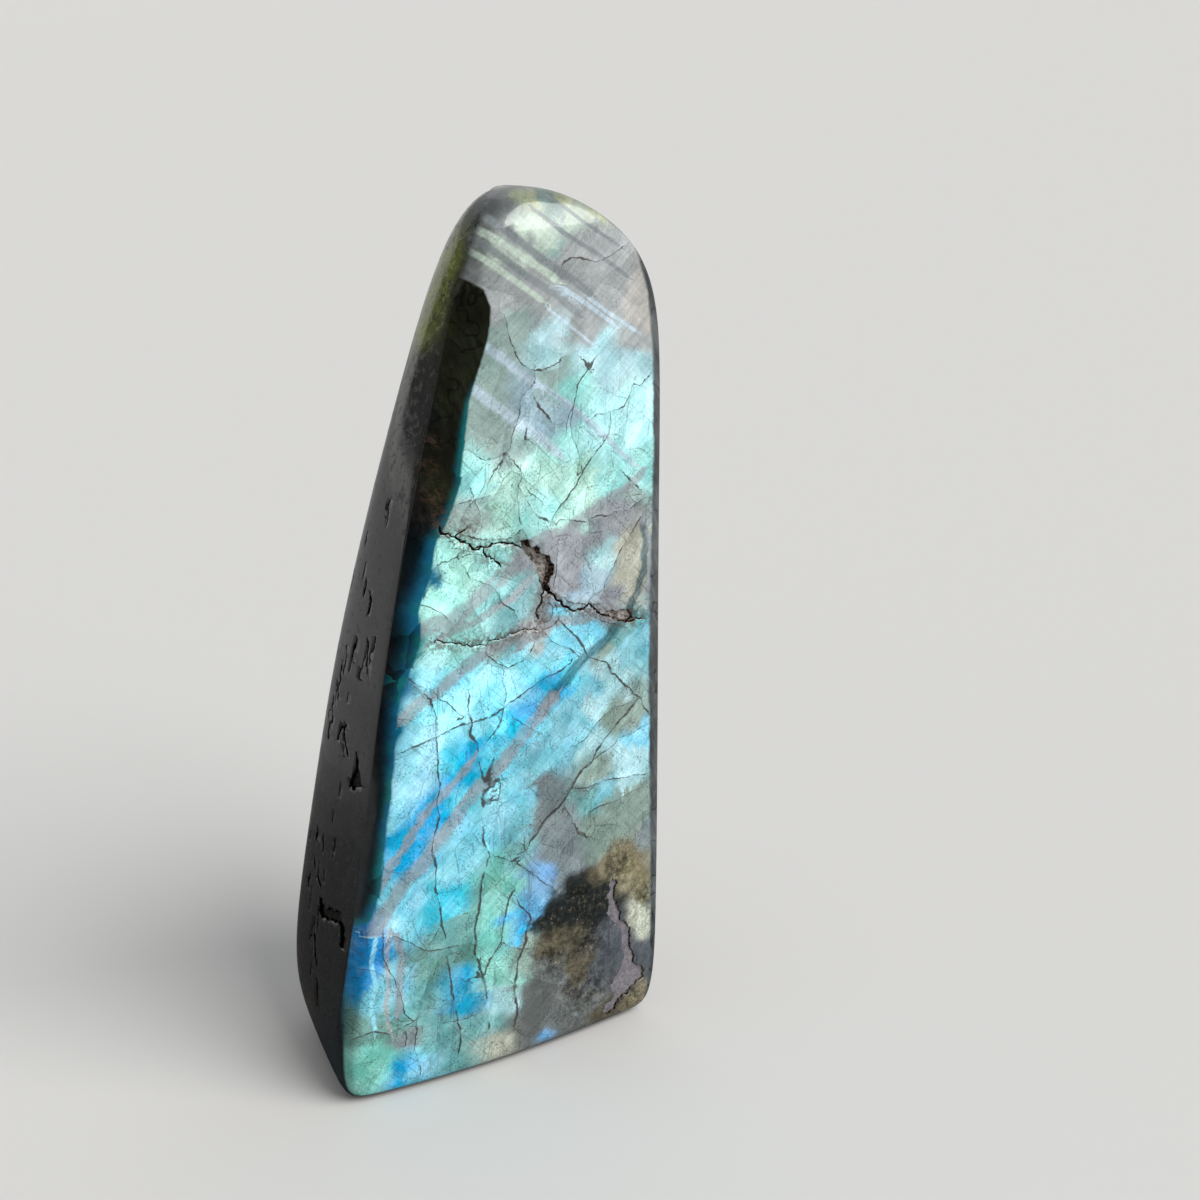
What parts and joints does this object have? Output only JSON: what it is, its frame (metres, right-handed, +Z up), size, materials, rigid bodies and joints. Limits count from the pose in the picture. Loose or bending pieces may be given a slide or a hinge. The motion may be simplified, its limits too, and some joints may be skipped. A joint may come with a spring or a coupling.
{
  "type": "polished labradorite freeform stone",
  "caption": "Tall polished labradorite freeform with a broad flashing face, rounded ground edges and a flat cut base, to stand as a decoration.",
  "frame": {"origin": "middle of the stone's outline seen from above, on the plane of the flat cut base", "axes": "+Z up along the stone's height, -Y out of the broad flashing face, +X towards the upright right-hand edge of that face"},
  "size_m": [0.0524, 0.0322, 0.1181],
  "materials": {
    "labradorite": "polished, with a blue-green flash on the broad face over a near-black body, open cracks and unpolished chips"
  },
  "bodies": {
    "root": {"stone": "labradorite"}
  },
  "joints": []
}
